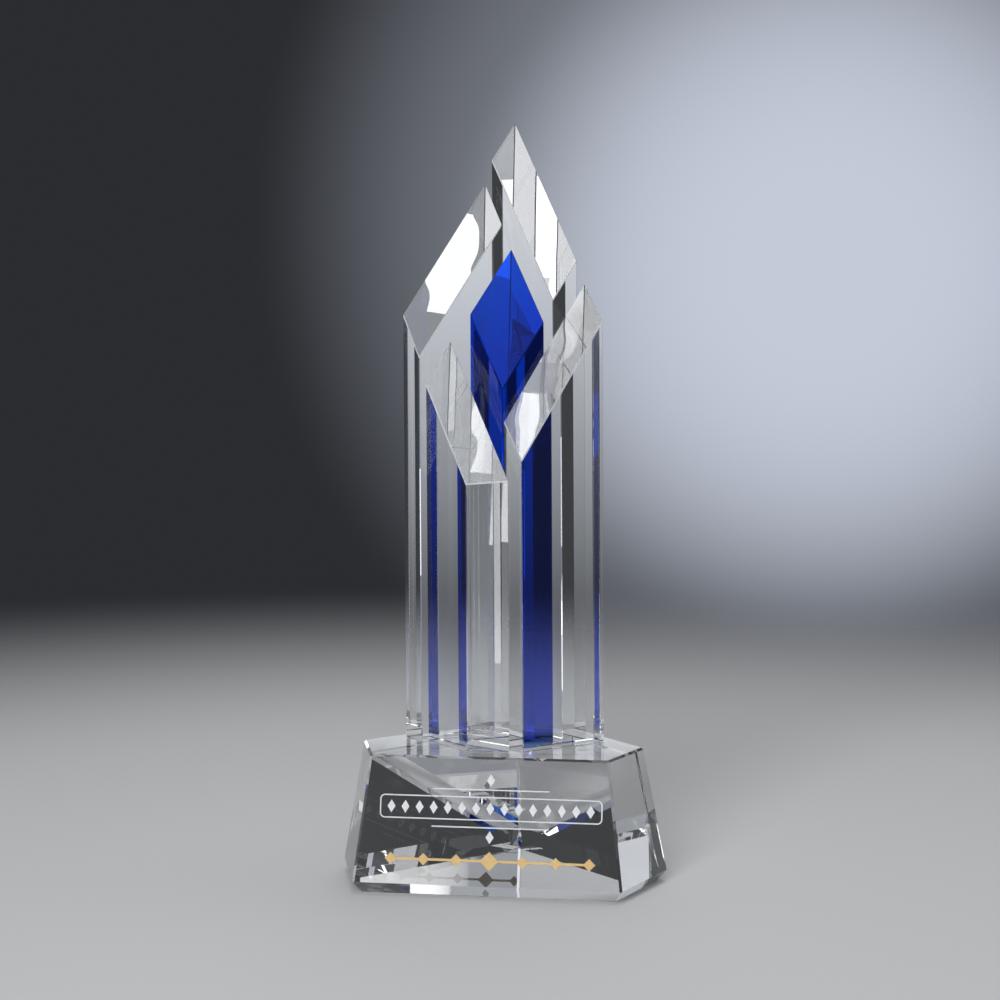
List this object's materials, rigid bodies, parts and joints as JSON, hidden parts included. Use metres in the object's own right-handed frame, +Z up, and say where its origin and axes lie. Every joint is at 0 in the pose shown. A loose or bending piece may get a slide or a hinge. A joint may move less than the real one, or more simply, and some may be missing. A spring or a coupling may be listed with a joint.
{
  "type": "crystal award",
  "caption": "Crystal tower award: slant-topped clear prisms stand round a blue core on a clear five-sided base with an engraved front.",
  "frame": {"origin": "centre of the base's footprint, on the surface it stands on", "axes": "+Z up, the engraved front wall faces -Y, +X to the viewer's right"},
  "size_m": [0.1318, 0.116, 0.305],
  "materials": {
    "clear_crystal": "polished, optically clear",
    "blue_crystal": "polished, deep cobalt blue, transparent",
    "adhesive": "clear cured adhesive film",
    "gold_colour_fill": "satin gold colour fill"
  },
  "bodies": {
    "root": {"base_block": "clear_crystal", "gold_fill": "gold_colour_fill", "blue_core_prism": "blue_crystal", "rear_right_prism": "clear_crystal", "rear_left_prism": "clear_crystal", "front_right_prism": "clear_crystal", "front_left_prism": "clear_crystal", "blue_core_bond": "adhesive", "rear_right_bond": "adhesive", "rear_left_bond": "adhesive", "front_right_bond": "adhesive", "front_left_bond": "adhesive"}
  },
  "joints": []
}
